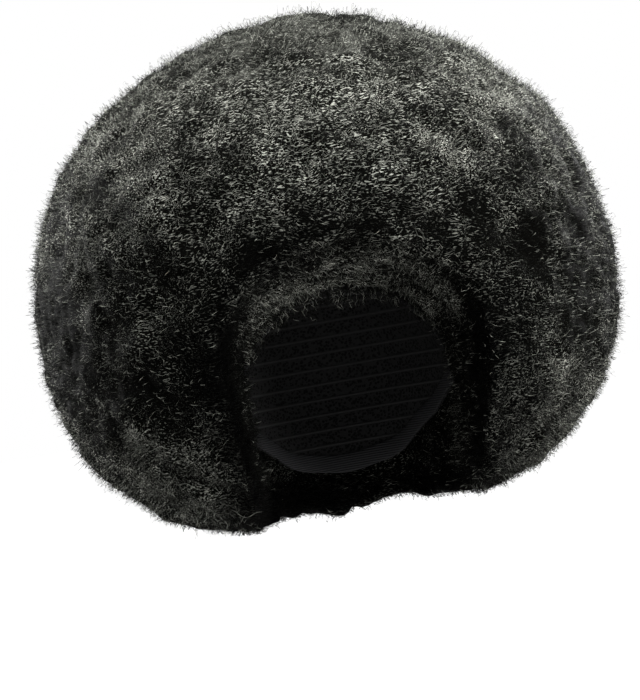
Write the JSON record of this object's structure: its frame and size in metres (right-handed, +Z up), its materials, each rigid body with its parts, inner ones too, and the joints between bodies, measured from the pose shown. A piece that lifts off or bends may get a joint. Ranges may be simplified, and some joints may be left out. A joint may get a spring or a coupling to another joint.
{
  "type": "afro wig",
  "caption": "Very large round afro wig: a ball of black frizzy synthetic hair in sewn rows on a stretch cap, with an elastic band inside its rim and an opening for the face.",
  "frame": {"origin": "the crown of the head that the wig is worn on, 2 mm under the inside of the cap's crown", "axes": "+Z up when worn, -Y the way the wearer looks, so the face opening is on the -Y side, and +X to the wearer's left"},
  "size_m": [0.4057, 0.3853, 0.3563],
  "materials": {
    "hair": "black frizzy synthetic fibre with fine light glints",
    "cap_net": "matt black knitted stretch net with sewn wefts",
    "elastic": "black ribbed elastic webbing"
  },
  "bodies": {
    "root": {"cap": "cap_net", "rim_band": "elastic", "hair_row_nape": "hair", "hair_row_ears": "hair", "hair_row_brow": "hair", "hair_crown": "hair"}
  },
  "joints": []
}
